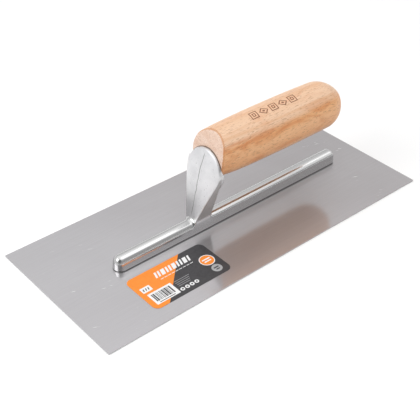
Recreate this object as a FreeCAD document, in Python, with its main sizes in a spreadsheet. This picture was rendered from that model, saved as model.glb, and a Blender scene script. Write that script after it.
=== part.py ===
"""Steel finishing trowel: a thin steel blade riveted to a cast aluminium mounting with a beech handle.

The origin is the middle of the blade's underside, +X runs along the blade from the toe to the heel,
+Y across it and +Z up. All sizes are in millimetres.
"""

import FreeCAD, Part
import math
import os

import Sketcher

Vector = FreeCAD.Vector
doc = FreeCAD.newDocument("finishing_trowel")

DIMENSIONS = [
    # blade: an 11 by 4 3/4 inch sheet of spring steel
    ("blade_length", 280.0),
    ("blade_width", 121.0),
    ("blade_thickness", 0.7),
    # rivets: countersunk from the underside, driven into blind holes in the bar
    ("rivet_shank_radius", 2.0),
    ("rivet_head_radius", 3.2),
    ("rivet_depth", 6.0),
    ("rivet_tip_bevel", 0.4),
    ("rivet_pitch", 30.0),
    ("rivet_middle_place", 9.1),
    # bar: the long foot of the mounting, with a D-shaped section
    ("bar_half_width", 5.4),
    ("bar_top", 10.5),
    ("bar_shoulder_radius", 4.2),
    ("bar_nose_place", -87.6),
    ("bar_heel_place", 111.2),
    ("bar_heel_round", 1.2),
    # neck: rises from the bar and widens into a round head
    ("neck_foot_level", 2.0),
    ("neck_flare_level", 9.5),
    ("neck_blank_depth", 22.0),
    ("neck_rear_place", -13.4),
    ("neck_crown_radius", 16.4),
    ("neck_crown_level", 46.1),
    ("neck_base_round", 1.0),
    # front face of the neck: bowed about an axis that leans back with it
    ("face_lean", 13.0),
    ("face_bow_radius", 45.0),
    ("face_foot_place", -27.5),
    ("face_foot_level", 10.0),
    ("face_straight_run", 34.9),
    ("face_curl_radius", 80.0),
    ("face_curl_angle", 18.0),
    ("face_cut_depth", 30.0),
    ("face_cut_below", 14.0),
    # head: a round pad with an oval collar, which the handle is drawn up against
    ("head_rear_place", -12.3),
    ("collar_half_width", 18.7),
    ("collar_half_height", 11.5),
    ("collar_level", 48.2),
    ("collar_thickness", 4.6),
    ("collar_slant", 16.0),
    # spigot and the threaded hole in its end
    ("spigot_radius", 5.0),
    ("spigot_length", 10.0),
    ("spigot_bevel", 0.8),
    ("thread_depth", 9.0),
    # handle: turned oval beech with a domed rear end
    ("handle_front_half_width", 15.4),
    ("handle_front_half_height", 15.4),
    ("handle_belly_half_width", 18.85),
    ("handle_half_height", 17.35),
    ("handle_rear_half_width", 17.5),
    ("handle_front_level", 58.2),
    ("handle_level", 57.2),
    ("handle_rear_level", 56.4),
    ("handle_width_run", 22.0),
    ("handle_height_run", 10.0),
    ("handle_blank_place", -14.0),
    ("handle_dome_place", 92.0),
    ("handle_dome_length", 19.0),
    ("face_bend_level", 52.0),
    ("face_bend_radius", 38.0),
    # bore, spigot socket and nut pocket of the handle
    ("handle_bore_radius", 3.25),
    ("socket_radius", 5.05),
    ("socket_depth", 10.4),
    ("pocket_radius", 7.0),
    ("pocket_floor_place", 98.0),
    # tie rod, washer and nut
    ("rod_radius", 3.0),
    ("rod_end_place", 107.0),
    ("rod_bevel", 0.5),
    ("washer_radius", 6.0),
    ("washer_hole_radius", 3.2),
    ("washer_thickness", 1.6),
    ("nut_across_flats", 10.0),
    ("nut_thickness", 5.0),
    ("nut_face_radius", 4.9),
    # label: a printed film on top of the blade
    ("label_length", 64.2),
    ("label_width", 34.6),
    ("label_thickness", 0.15),
    ("label_corner_radius", 4.5),
    ("label_place_x", -63.2),
    ("label_place_y", -31.6),
]
RIVET_COUNT = 7
NUT_BEVEL_ANGLE = 30.0

# where the handle's oval sections sit: shares of its straight run, then angles round its rear dome
RUN_SHARES = (0.0, 0.12, 0.25, 0.4, 0.6, 0.8, 1.0)
DOME_ANGLES = (12, 24, 36, 48, 58, 65)

# how far a cutting shape reaches past what it cuts, and how close a point lies to a face it is on
CLEARANCE = 1.0
TOLERANCE = 0.01


class Size:
    """A length kept both as a number and as the sheet expression that gives it."""

    def __init__(self, number, expression):
        self.number = number
        self.expression = expression

    @staticmethod
    def of(value):
        return value if isinstance(value, Size) else Size(float(value), repr(float(value)))

    def __add__(self, other):
        other = Size.of(other)
        return Size(self.number + other.number, f"({self.expression} + {other.expression})")

    def __sub__(self, other):
        other = Size.of(other)
        return Size(self.number - other.number, f"({self.expression} - {other.expression})")

    def __mul__(self, other):
        other = Size.of(other)
        return Size(self.number * other.number, f"({self.expression} * {other.expression})")

    def __truediv__(self, other):
        other = Size.of(other)
        return Size(self.number / other.number, f"({self.expression} / {other.expression})")

    def __neg__(self):
        return Size(-self.number, f"(0 - {self.expression})")


def make_sheet():
    """The spreadsheet of driving dimensions, and the same dimensions by name."""
    sheet = doc.addObject("Spreadsheet::Sheet", "Dimensions")
    sizes = {}
    for row, (name, number) in enumerate(DIMENSIONS, start=1):
        sheet.set(f"A{row}", name)
        sheet.set(f"B{row}", str(number))
        sheet.setAlias(f"B{row}", name)
        sizes[name] = Size(number, f"Dimensions.{name}")
    doc.recompute()
    return sizes


D = make_sheet()


def bind(item, name, size):
    """Ties a property of a document object to the sheet."""
    item.setExpression(name, Size.of(size).expression)


def new_body(label):
    """An empty body whose name is the name of its part."""
    body = doc.addObject("PartDesign::Body", label)
    body.Label = label
    return body


def origin_item(body, role):
    """A plane or an axis of the body's own origin, found by its role."""
    return next(item for item in body.Origin.OriginFeatures if item.Role == role)


def attach(item, body, role, shift=(0, 0, 0), turn=0):
    """Puts a sketch or primitive on one of its body's origin planes, shifted and turned within it."""
    item.AttachmentSupport = [(origin_item(body, role), "")]
    item.MapMode = "FlatFace"
    for axis, size in zip("xyz", shift):
        bind(item, f"AttachmentOffset.Base.{axis}", size)
    if isinstance(turn, Size):
        bind(item, "AttachmentOffset.Rotation.Angle", turn)


def new_sketch(body, name, role, shift=(0, 0, 0), turn=0):
    """An empty sketch on one of the body's origin planes."""
    sketch = body.newObject("Sketcher::SketchObject", name)
    attach(sketch, body, role, shift, turn)
    return sketch


def constrain(sketch, kind, *places, size):
    """Adds a constraint whose value comes from the sheet."""
    size = Size.of(size)
    index = sketch.addConstraint(Sketcher.Constraint(kind, *places, size.number))
    sketch.setExpression(f"Constraints[{index}]", size.expression)


def pin(sketch, edge, end, point):
    """Holds one end of an edge at its distances from the sketch's origin."""
    constrain(sketch, "DistanceX", -1, 1, edge, end, size=point[0])
    constrain(sketch, "DistanceY", -1, 1, edge, end, size=point[1])


def plain_point(point):
    """A sketch point as a vector of plain numbers."""
    return Vector(Size.of(point[0]).number, Size.of(point[1]).number, 0)


def arc_through(start, end, radius, side):
    """The shorter arc from start to end; side is +1 where it bulges to the left of that line, else -1."""
    chord = end - start
    half = chord.Length / 2
    rise = radius - math.sqrt(max(radius**2 - half**2, 0.0))
    left = Vector(-chord.y, chord.x, 0).normalize()
    return Part.Arc(start, (start + end) / 2 + left * (rise * side), end)


def draw_outline(sketch, corners):
    """A closed outline. A corner is (x, y), or (x, y, radius, side) where an arc leads on from it."""
    points = [plain_point(corner) for corner in corners]
    count = len(corners)
    for i, corner in enumerate(corners):
        start, end = points[i], points[(i + 1) % count]
        if len(corner) == 2:
            sketch.addGeometry(Part.LineSegment(start, end), False)
        else:
            radius, side = Size.of(corner[2]), corner[3]
            sketch.addGeometry(arc_through(start, end, radius.number, side), False)
    starts, ends = [], []
    for i, corner in enumerate(corners):
        counter_clockwise = len(corner) == 2 or corner[3] < 0
        starts.append(1 if counter_clockwise else 2)
        ends.append(2 if counter_clockwise else 1)
    for i, corner in enumerate(corners):
        following = (i + 1) % count
        sketch.addConstraint(Sketcher.Constraint("Coincident", i, ends[i], following, starts[following]))
        pin(sketch, i, starts[i], corner[:2])
        if len(corner) > 2:
            constrain(sketch, "Radius", i, size=corner[2])


def draw_circle(sketch, centre, radius):
    """A circle held by its centre and radius."""
    middle = plain_point(centre)
    edge = sketch.addGeometry(Part.Circle(middle, Vector(0, 0, 1), Size.of(radius).number), False)
    pin(sketch, edge, 3, centre)
    constrain(sketch, "Radius", edge, size=radius)


def draw_oval(sketch, centre, half_width, half_height):
    """An ellipse, wider than it is high, held through its own two axes."""
    middle, wide, high = plain_point(centre), Size.of(half_width), Size.of(half_height)
    tip, side = middle + Vector(wide.number, 0, 0), middle + Vector(0, high.number, 0)
    edge = sketch.addGeometry(Part.Ellipse(tip, side, middle), False)
    sketch.exposeInternalGeometry(edge)
    pin(sketch, edge, 3, centre)
    constrain(sketch, "DistanceX", edge + 1, 2, edge + 1, 1, size=wide * 2)
    constrain(sketch, "DistanceY", edge + 2, 2, edge + 2, 1, size=high * 2)
    sketch.addConstraint(Sketcher.Constraint("Horizontal", edge + 1))


def pad(body, name, sketch, length, reverse=False):
    """Raises a sketch to the given height."""
    feature = body.newObject("PartDesign::Pad", name)
    feature.Profile = sketch
    bind(feature, "Length", length)
    feature.Reversed = reverse
    return feature


def turn_profile(body, kind, name, sketch, angle=360.0, both_ways=False, axis="V_Axis"):
    """A Revolution or Groove of a sketch about one of its own axes."""
    feature = body.newObject(f"PartDesign::{kind}", name)
    feature.Profile = sketch
    feature.ReferenceAxis = (sketch, [axis])
    feature.Angle = angle
    feature.Midplane = both_ways
    return feature


def row_of(body, feature, count, pitch):
    """Repeats a feature along the body's X axis."""
    pattern = body.newObject("PartDesign::LinearPattern", f"{feature.Name}_row")
    pattern.Originals = [feature]
    pattern.Direction = (origin_item(body, "X_Axis"), [""])
    pattern.Occurrences = count
    bind(pattern, "Length", pitch * (count - 1))
    body.Tip = pattern
    return pattern


def edges_where(shape, test):
    """Names of the edges whose every sampled point passes the test."""
    names = []
    for number, edge in enumerate(shape.Edges, start=1):
        steps = [edge.FirstParameter + (edge.LastParameter - edge.FirstParameter) * k / 4 for k in range(5)]
        if all(test(edge.valueAt(step)) for step in steps):
            names.append(f"Edge{number}")
    return names


def dress(body, kind, name, base, test, size):
    """A Fillet or Chamfer on the edges of a finished feature that pass the test."""
    doc.recompute()
    names = edges_where(base.Shape, test)
    if not names:
        raise RuntimeError(f"{name}: no edge was found")
    feature = body.newObject(f"PartDesign::{kind}", name)
    feature.Base = (base, names)
    bind(feature, "Radius" if kind == "Fillet" else "Size", size)
    doc.recompute()
    return feature


def cut_volume(before, after, name):
    """Stops the build where a cut has removed nothing."""
    doc.recompute()
    removed = before.Shape.Volume - after.Shape.Volume
    if removed <= TOLERANCE:
        raise RuntimeError(f"{name} removed nothing")


FIRST_RIVET = D["rivet_middle_place"] - D["rivet_pitch"] * ((RIVET_COUNT - 1) / 2)
ROD_LEVEL = D["handle_level"]


def make_blade():
    """A flat rectangular sheet with a row of countersunk rivet holes along its middle."""
    body = new_body("blade")
    half_length, half_width = D["blade_length"] / 2, D["blade_width"] / 2
    outline = new_sketch(body, "blade_outline", "XY_Plane")
    draw_outline(
        outline,
        [
            (-half_length, -half_width),
            (half_length, -half_width),
            (half_length, half_width),
            (-half_length, half_width),
        ],
    )
    sheet = pad(body, "blade_sheet", outline, D["blade_thickness"])
    sink = body.newObject("PartDesign::SubtractiveCone", "blade_countersink")
    attach(sink, body, "XY_Plane", (FIRST_RIVET, 0, 0))
    bind(sink, "Radius1", D["rivet_head_radius"])
    bind(sink, "Radius2", D["rivet_shank_radius"])
    bind(sink, "Height", D["blade_thickness"])
    cut_volume(sheet, sink, "blade_countersink")
    row = row_of(body, sink, RIVET_COUNT, D["rivet_pitch"])
    cut_volume(sink, row, "blade_countersink_row")
    return body


def make_rivet(number):
    """A countersunk rivet, its head flush with the blade's underside."""
    body = new_body(f"rivet_{number + 1}")
    top = D["blade_thickness"] + D["rivet_depth"]
    shank, bevel = D["rivet_shank_radius"], D["rivet_tip_bevel"]
    profile = new_sketch(body, f"rivet_profile_{number + 1}", "XZ_Plane")
    draw_outline(
        profile,
        [
            (0, 0),
            (D["rivet_head_radius"], 0),
            (shank, D["blade_thickness"]),
            (shank, top - bevel),
            (shank - bevel, top),
            (0, top),
        ],
    )
    turn_profile(body, "Revolution", f"rivet_turned_{number + 1}", profile)
    bind(body, "Placement.Base.x", FIRST_RIVET + D["rivet_pitch"] * number)
    return body


def make_mounting():
    """The one-piece casting: D-shaped bar, bowed neck, round head and the spigot inside the handle."""
    body = new_body("mounting")
    face = add_neck(body)
    add_bar(body, face)
    add_fixings(body)
    return body


def add_neck(body):
    """The neck and head, cut back to the bowed front face that leans towards the handle."""
    half, crown = D["bar_half_width"], D["neck_crown_radius"]
    level, flare = D["neck_crown_level"], D["neck_flare_level"]
    outline = new_sketch(body, "neck_outline", "YZ_Plane", (0, 0, D["neck_rear_place"]))
    reach = math.hypot(half.number, level.number - flare.number)
    slope = math.asin(crown.number / reach) - math.atan2(half.number, level.number - flare.number)
    touch_y, touch_z = crown.number * math.cos(slope), level.number - crown.number * math.sin(slope)
    right = [Vector(half.number, flare.number, 0), Vector(touch_y, touch_z, 0)]
    left = [Vector(-point.x, point.y, 0) for point in right]
    foot = [Vector(half.number, D["neck_foot_level"].number, 0)]
    foot.append(Vector(-foot[0].x, foot[0].y, 0))
    top = Vector(0, level.number + crown.number, 0)
    chain = [
        Part.LineSegment(foot[1], foot[0]),
        Part.LineSegment(foot[0], right[0]),
        Part.LineSegment(right[0], right[1]),
        Part.Arc(right[1], top, left[1]),
        Part.LineSegment(left[1], left[0]),
        Part.LineSegment(left[0], foot[1]),
    ]
    outline.addGeometry(chain, False)
    for first, second in [(0, 1), (1, 2), (4, 5), (5, 0)]:
        outline.addConstraint(Sketcher.Constraint("Coincident", first, 2, second, 1))
    outline.addConstraint(Sketcher.Constraint("Tangent", 2, 2, 3, 1))
    outline.addConstraint(Sketcher.Constraint("Tangent", 3, 2, 4, 1))
    pin(outline, 3, 3, (0, level))
    constrain(outline, "Radius", 3, size=crown)
    pin(outline, 1, 1, (half, D["neck_foot_level"]))
    pin(outline, 2, 1, (half, flare))
    pin(outline, 5, 1, (-half, flare))
    pin(outline, 0, 1, (-half, D["neck_foot_level"]))
    pad(body, "neck_blank", outline, D["neck_blank_depth"], reverse=True)

    rear = D["head_rear_place"]
    round_pad = new_sketch(body, "head_circle", "YZ_Plane", (0, 0, rear))
    draw_circle(round_pad, (0, level), crown)
    pad(body, "head_pad", round_pad, rear - D["neck_rear_place"], reverse=True)
    oval = new_sketch(body, "collar_oval", "YZ_Plane", (0, 0, rear))
    draw_oval(oval, (0, D["collar_level"]), D["collar_half_width"], D["collar_half_height"])
    collar = pad(body, "collar", oval, D["collar_thickness"], reverse=True)
    bind(collar, "TaperAngle", -D["collar_slant"])

    lean, bow = math.radians(D["face_lean"].number), D["face_bow_radius"]
    curl, angle = D["face_curl_radius"], math.radians(D["face_curl_angle"].number)
    axis_x = D["face_foot_place"] + bow * math.cos(lean)
    axis_z = D["face_foot_level"] - bow * math.sin(lean)
    run, below, depth = D["face_straight_run"], D["face_cut_below"], D["face_cut_depth"]
    top_x = curl - bow - curl * math.cos(angle)
    top_y = run + curl * math.sin(angle)
    swept = new_sketch(body, "face_profile", "XZ_Plane", (axis_x, axis_z, 0), -D["face_lean"])
    draw_outline(
        swept,
        [
            (-bow, -below),
            (-bow, run, curl, +1),
            (top_x, top_y),
            (-bow - depth, top_y),
            (-bow - depth, -below),
        ],
    )
    face = turn_profile(body, "Groove", "bowed_face", swept)
    cut_volume(collar, face, "bowed_face")
    return face


def half_section(half, base, top, shoulder):
    """One side of the bar's D section, from its base up to the middle of its top."""
    return [(half, base), (half, top - shoulder, shoulder, -1), (half - shoulder, top)]


def add_bar(body, face):
    """The bar: a D section run back from a domed nose, with a rounded heel, and eased into the neck."""
    half, base = D["bar_half_width"], D["blade_thickness"]
    top, shoulder = D["bar_top"], D["bar_shoulder_radius"]
    section = new_sketch(body, "bar_section", "YZ_Plane", (0, 0, D["bar_heel_place"]))
    draw_outline(
        section,
        half_section(half, base, top, shoulder)
        + [(shoulder - half, top, shoulder, -1), (-half, top - shoulder), (-half, base)],
    )
    pad(body, "bar_run", section, D["bar_heel_place"] - D["bar_nose_place"], reverse=True)
    nose = new_sketch(body, "nose_profile", "XZ_Plane", (D["bar_nose_place"], 0, 0))
    draw_outline(
        nose,
        [(0, base), (0, top), (shoulder - half, top, shoulder, -1), (-half, top - shoulder), (-half, base)],
    )
    dome = turn_profile(body, "Revolution", "bar_nose", nose, angle=180.0, both_ways=True)
    heel, foot = D["bar_heel_place"].number, base.number

    def around_heel(p):
        """On the outline of the bar's heel end, above its base."""
        return abs(p.x - heel) < TOLERANCE and p.z > foot + TOLERANCE / 10

    rounded = dress(body, "Fillet", "bar_heel_rounding", dome, around_heel, D["bar_heel_round"])
    rear = D["neck_rear_place"].number
    core, shoulder_level = (half - shoulder).number, (top - shoulder).number

    def behind_neck(p):
        """On the bar's rounded top where the neck's flat rear face meets it."""
        from_core = math.hypot(max(abs(p.y) - core, 0), p.z - shoulder_level)
        return abs(p.x - rear) < TOLERANCE and abs(from_core - shoulder.number) < TOLERANCE

    dress(body, "Fillet", "neck_base_rounding", rounded, behind_neck, D["neck_base_round"])


def add_fixings(body):
    """The spigot behind the head with its threaded hole, and the blind rivet holes under the bar."""
    rear = D["head_rear_place"]
    circle = new_sketch(body, "spigot_circle", "YZ_Plane", (0, 0, rear))
    draw_circle(circle, (0, ROD_LEVEL), D["spigot_radius"])
    spigot = pad(body, "spigot", circle, D["spigot_length"])
    end = (rear + D["spigot_length"]).number

    def on_end_face(p):
        """On the rear end of the spigot."""
        return abs(p.x - end) < TOLERANCE

    eased = dress(body, "Chamfer", "spigot_bevelling", spigot, on_end_face, D["spigot_bevel"])
    hole_circle = new_sketch(body, "thread_circle", "YZ_Plane", (0, 0, rear + D["spigot_length"]))
    draw_circle(hole_circle, (0, ROD_LEVEL), D["rod_radius"])
    thread = body.newObject("PartDesign::Pocket", "thread_hole")
    thread.Profile = hole_circle
    bind(thread, "Length", D["thread_depth"])
    cut_volume(eased, thread, "thread_hole")
    hole = body.newObject("PartDesign::SubtractiveCylinder", "rivet_hole")
    attach(hole, body, "XY_Plane", (FIRST_RIVET, 0, D["blade_thickness"]))
    bind(hole, "Radius", D["rivet_shank_radius"])
    bind(hole, "Height", D["rivet_depth"])
    cut_volume(thread, hole, "rivet_hole")
    row = row_of(body, hole, RIVET_COUNT, D["rivet_pitch"])
    cut_volume(hole, row, "rivet_hole_row")


def between(first, second, share):
    """The size a given share of the way from the first size to the second."""
    return first + (second - first) * share


def handle_stations():
    """The handle's oval sections from front to rear: place, half width, half height and level."""
    stations = []
    blank, dome = D["handle_blank_place"], D["handle_dome_place"]
    rear_width, rear_level = D["handle_rear_half_width"], D["handle_rear_level"]
    full_width, full_height = D["handle_belly_half_width"], D["handle_half_height"]
    for share in RUN_SHARES:
        place = between(blank, dome, share)
        run = (dome - blank).number * share
        widened = 1 - math.exp(-run / D["handle_width_run"].number)
        raised = 1 - math.exp(-run / D["handle_height_run"].number)
        lowered = max(0.0, 2 * share - 1)
        width = between(D["handle_front_half_width"], full_width, widened)
        width = width + (rear_width - full_width) * lowered**2
        height = between(D["handle_front_half_height"], full_height, raised)
        level = between(D["handle_front_level"], D["handle_level"], raised)
        level = level + (rear_level - D["handle_level"]) * lowered
        stations.append((place, width, height, level))
    for angle in DOME_ANGLES:
        shrink, advance = math.cos(math.radians(angle)), math.sin(math.radians(angle))
        place = dome + D["handle_dome_length"] * advance
        stations.append((place, rear_width * shrink, full_height * shrink, rear_level))
    return stations


def along_x(item, x, y, z):
    """Turns a primitive's own Z axis to run along X, its own X axis across, and puts it in place."""
    item.Placement.Rotation = FreeCAD.Rotation(Vector(0, 1, 0), Vector(0, 0, 1), Vector(1, 0, 0), "ZXY")
    for axis, size in zip("xyz", (x, y, z)):
        bind(item, f"Placement.Base.{axis}", size)


def rod_cylinder(name, radius, start, length):
    """A cylinder about the tie rod's axis."""
    cylinder = doc.addObject("Part::Cylinder", name)
    bind(cylinder, "Radius", radius)
    bind(cylinder, "Height", length)
    along_x(cylinder, start, 0, ROD_LEVEL)
    return cylinder


def keep_box(name, start, height):
    """A box as wide as the handle, from a place along X back past its rear."""
    box = doc.addObject("Part::Box", name)
    bind(box, "Length", D["face_bend_radius"] * 4)
    bind(box, "Width", D["handle_belly_half_width"] * 3)
    bind(box, "Height", height)
    bind(box, "Placement.Base.x", start)
    bind(box, "Placement.Base.y", D["handle_belly_half_width"] * -1.5)
    bind(box, "Placement.Base.z", D["face_bend_level"] - D["face_bend_radius"])
    return box


def make_keep():
    """All the room behind the handle's front face: upright below the bend level, bent back above it."""
    front, radius = D["head_rear_place"], D["face_bend_radius"]
    bend = doc.addObject("Part::Cylinder", "handle_front_round")
    bend.Placement.Rotation = FreeCAD.Rotation(Vector(1, 0, 0), 90)
    bind(bend, "Radius", radius)
    bind(bend, "Height", D["handle_belly_half_width"] * 3)
    bind(bend, "Placement.Base.x", front + radius)
    bind(bend, "Placement.Base.y", D["handle_belly_half_width"] * 1.5)
    bind(bend, "Placement.Base.z", D["face_bend_level"])
    lower = keep_box("handle_lower_box", front, radius)
    rear = keep_box("handle_rear_box", front + radius, radius * 2)
    keep = doc.addObject("Part::MultiFuse", "handle_keep")
    keep.Shapes = [bend, lower, rear]
    return keep


def make_handle():
    """The oval handle with its bent-back front face, spigot socket, through bore and nut pocket."""
    sections = []
    for number, (place, width, height, level) in enumerate(handle_stations(), start=1):
        oval = doc.addObject("Part::Ellipse", f"handle_oval_{number}")
        bind(oval, "MajorRadius", width)
        bind(oval, "MinorRadius", height)
        along_x(oval, place, 0, level)
        sections.append(oval)
    blank = doc.addObject("Part::Loft", "handle_blank")
    blank.Sections = sections
    blank.Solid = True
    blank.Ruled = False
    shaped = doc.addObject("Part::MultiCommon", "handle_shaped")
    shaped.Shapes = [blank, make_keep()]

    front, floor = D["head_rear_place"], D["pocket_floor_place"]
    deep = D["socket_depth"] + CLEARANCE
    socket = rod_cylinder("handle_socket", D["socket_radius"], front - CLEARANCE, deep)
    bore = rod_cylinder("handle_bore", D["handle_bore_radius"], front, floor - front + CLEARANCE)
    pocket = rod_cylinder("handle_pocket", D["pocket_radius"], floor, D["handle_dome_length"] * 2)
    holes = doc.addObject("Part::MultiFuse", "handle_holes")
    holes.Shapes = [socket, bore, pocket]
    handle = doc.addObject("Part::Cut", "handle")
    handle.Base = shaped
    handle.Tool = holes
    handle.Label = "handle"
    cut_volume(shaped, handle, "handle_holes")
    return handle


def make_tie_rod():
    """The long stud from the threaded hole in the spigot to the nut."""
    body = new_body("tie_rod")
    start = D["head_rear_place"] + D["spigot_length"] - D["thread_depth"]
    circle = new_sketch(body, "rod_circle", "YZ_Plane", (0, 0, start))
    draw_circle(circle, (0, ROD_LEVEL), D["rod_radius"])
    rod = pad(body, "rod_run", circle, D["rod_end_place"] - start)
    ends = (start.number, D["rod_end_place"].number)

    def on_an_end(p):
        """On either end face of the rod."""
        return min(abs(p.x - end) for end in ends) < TOLERANCE

    dress(body, "Chamfer", "rod_bevels", rod, on_an_end, D["rod_bevel"])
    return body


def make_washer():
    """A plain round washer on the floor of the nut pocket."""
    body = new_body("handle_washer")
    ring = new_sketch(body, "washer_ring", "YZ_Plane", (0, 0, D["pocket_floor_place"]))
    draw_circle(ring, (0, ROD_LEVEL), D["washer_radius"])
    draw_circle(ring, (0, ROD_LEVEL), D["washer_hole_radius"])
    pad(body, "washer_plate", ring, D["washer_thickness"])
    return body


def make_nut():
    """A hexagon nut with both faces bevelled to a circle."""
    body = new_body("handle_nut")
    start = D["pocket_floor_place"] + D["washer_thickness"]
    corner_radius = D["nut_across_flats"] / math.sqrt(3)
    hexagon = new_sketch(body, "nut_hexagon", "YZ_Plane", (0, ROD_LEVEL, start))
    corners = []
    for k in range(6):
        turn = math.radians(60 * k)
        corners.append((corner_radius * math.cos(turn), corner_radius * math.sin(turn)))
    draw_outline(hexagon, corners)
    block = pad(body, "nut_block", hexagon, D["nut_thickness"])
    hole_circle = new_sketch(body, "nut_circle", "YZ_Plane", (0, ROD_LEVEL, start + D["nut_thickness"]))
    draw_circle(hole_circle, (0, 0), D["rod_radius"])
    hole = body.newObject("PartDesign::Pocket", "nut_hole")
    hole.Profile = hole_circle
    bind(hole, "Length", D["nut_thickness"])
    cut_volume(block, hole, "nut_hole")
    face_radius, outside = D["nut_face_radius"], corner_radius + CLEARANCE
    drop = (outside - face_radius) * math.tan(math.radians(NUT_BEVEL_ANGLE))
    for name, face, inward in (("front", start, 1), ("rear", start + D["nut_thickness"], -1)):
        profile = new_sketch(body, f"nut_{name}_bevel", "XZ_Plane", (face, ROD_LEVEL, 0))
        draw_outline(profile, [(0, face_radius), (drop * inward, outside), (0, outside)])
        trimmed = turn_profile(body, "Groove", f"nut_{name}_trim", profile, axis="H_Axis")
        cut_volume(hole, trimmed, f"nut_{name}_trim")
    return body


def make_label():
    """The rounded film on the blade's top, beside the bar."""
    body = new_body("label")
    x, y = D["label_place_x"], D["label_place_y"]
    half_x, half_y, round_off = D["label_length"] / 2, D["label_width"] / 2, D["label_corner_radius"]
    outline = new_sketch(body, "label_outline", "XY_Plane", (x, y, D["blade_thickness"]))
    draw_outline(
        outline,
        [
            (round_off - half_x, -half_y),
            (half_x - round_off, -half_y, round_off, -1),
            (half_x, round_off - half_y),
            (half_x, half_y - round_off, round_off, -1),
            (half_x - round_off, half_y),
            (round_off - half_x, half_y, round_off, -1),
            (-half_x, half_y - round_off),
            (-half_x, round_off - half_y, round_off, -1),
        ],
    )
    pad(body, "label_film", outline, D["label_thickness"])
    return body


def check_document():
    """Stops the build where a feature has failed."""
    for item in doc.Objects:
        if "Invalid" in item.State or "Error" in item.State:
            raise RuntimeError(f"{item.Name} failed: {item.State}")


def write_parts(parts):
    """Writes every part as a STEP file once all of them are single valid solids."""
    os.makedirs("parts", exist_ok=True)
    for part in parts:
        shape = part.Shape
        if shape.isNull() or not shape.isValid() or len(shape.Solids) != 1:
            raise RuntimeError(f"{part.Label} is not one valid solid")
    for part in parts:
        part.Shape.exportStep(os.path.join("parts", f"{part.Label}.step"))
        box = part.Shape.BoundBox
        size = f"{box.XLength:.2f} x {box.YLength:.2f} x {box.ZLength:.2f} mm"
        print(f"{part.Label}: {size}, {part.Shape.Volume:.1f} mm3")


def main():
    """Builds every part, checks the document and writes the STEP files."""
    parts = [make_blade(), make_mounting(), make_handle(), make_label()]
    parts += [make_tie_rod(), make_washer(), make_nut()]
    parts += [make_rivet(number) for number in range(RIVET_COUNT)]
    doc.recompute()
    check_document()
    write_parts(parts)


main()
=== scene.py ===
"""Steel finishing trowel: brushed blade, cast aluminium mounting, varnished beech handle and a printed label.

Sizes are in millimetres, in the frame of the CAD model; they become metres as each mesh is made.
"""

import math
import random

import bpy
import numpy as np
from mathutils import Matrix, Vector


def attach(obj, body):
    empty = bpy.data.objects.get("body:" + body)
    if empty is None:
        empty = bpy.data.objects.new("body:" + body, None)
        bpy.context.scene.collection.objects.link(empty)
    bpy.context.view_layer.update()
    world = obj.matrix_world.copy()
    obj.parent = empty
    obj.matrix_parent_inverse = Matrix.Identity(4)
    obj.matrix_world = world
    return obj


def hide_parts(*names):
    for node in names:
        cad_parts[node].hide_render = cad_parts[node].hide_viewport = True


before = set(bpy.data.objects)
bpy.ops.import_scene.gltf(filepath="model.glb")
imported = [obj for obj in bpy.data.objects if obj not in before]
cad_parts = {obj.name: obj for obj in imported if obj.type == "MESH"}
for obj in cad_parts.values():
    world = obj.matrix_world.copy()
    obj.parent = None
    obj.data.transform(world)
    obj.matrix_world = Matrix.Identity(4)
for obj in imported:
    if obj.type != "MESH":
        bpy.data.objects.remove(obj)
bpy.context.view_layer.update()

MM = 0.001
ROOT = "root"

# bar of the mounting, which lies on the blade
BLADE_TOP = 0.7
BAR_TOP = 10.5
BAR_EDGE_LEVEL = 8.5
BAR_EDGE_HALF = 4.9
BAR_DRAFT = math.radians(4.9)
BAR_BEVEL = math.radians(39)
BAR_NOSE = -87.4
BAR_HEEL = 111.2
BAR_HEEL_ROUND = 1.2
BAR_TOP_ROUND = 1.3
BAR_SHOULDER_ROUND = 2.4
BAR_BASE_ROUND = 0.45
# the bar's top and shoulder rounds shrink by these much over this run, from in front of the neck to behind it
TOP_ROUND_LOSS = 0.5
SHOULDER_ROUND_LOSS = 1.8
ROUND_LOSS_RUN = (-34.0, -8.0)
RIVET_RADIUS = 2.0
RIVET_TOP = 6.7
RIVET_FIRST = -80.9
RIVET_PITCH = 30.0
RIVET_COUNT = 7

# neck and head of the mounting
NECK_REAR = -13.4
HEAD_REAR = -12.3
FLARE_LEVEL = 9.5
FLARE_SOFTNESS = 1.8
CROWN_RADIUS = 16.4
CROWN_LEVEL = 46.1
NECK_SPREAD = math.asin(CROWN_RADIUS / math.hypot(BAR_EDGE_HALF, CROWN_LEVEL - FLARE_LEVEL)) - math.atan2(
    BAR_EDGE_HALF, CROWN_LEVEL - FLARE_LEVEL
)
NECK_EDGE_ROUND = 0.6
NECK_BASE_ROUND = 2.6
FOOT_TOP = 25.0
FACE_LEAN = math.radians(13)
FACE_BOW = 45.0
FACE_FOOT_X = -27.5
FACE_FOOT_Z = 10.0
FACE_RUN = 34.9
FACE_CURL = 80.0
COLLAR_HALF_WIDTH = 18.7
COLLAR_BELOW = 11.5
COLLAR_ABOVE = 4.6
COLLAR_LEVEL = 48.2
COLLAR_RIM = 0.6
COLLAR_FRONT = -16.9
COLLAR_SLANT = math.tan(math.radians(44))
COLLAR_SLANT_RUN = 4.0
COLLAR_POWER_BELOW = 2.0
COLLAR_POWER_ABOVE = 2.8
COLLAR_MELT = 1.4
HEAD_RIM_ROUND = 0.5
SEAT_GAP = 0.2
SPIGOT_RADIUS = 5.0
SPIGOT_END = -2.3
SPIGOT_ROUND = 0.8
SPIGOT_ROOT = 1.0
THREAD_RADIUS = 3.0
THREAD_FLOOR = -11.3

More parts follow.
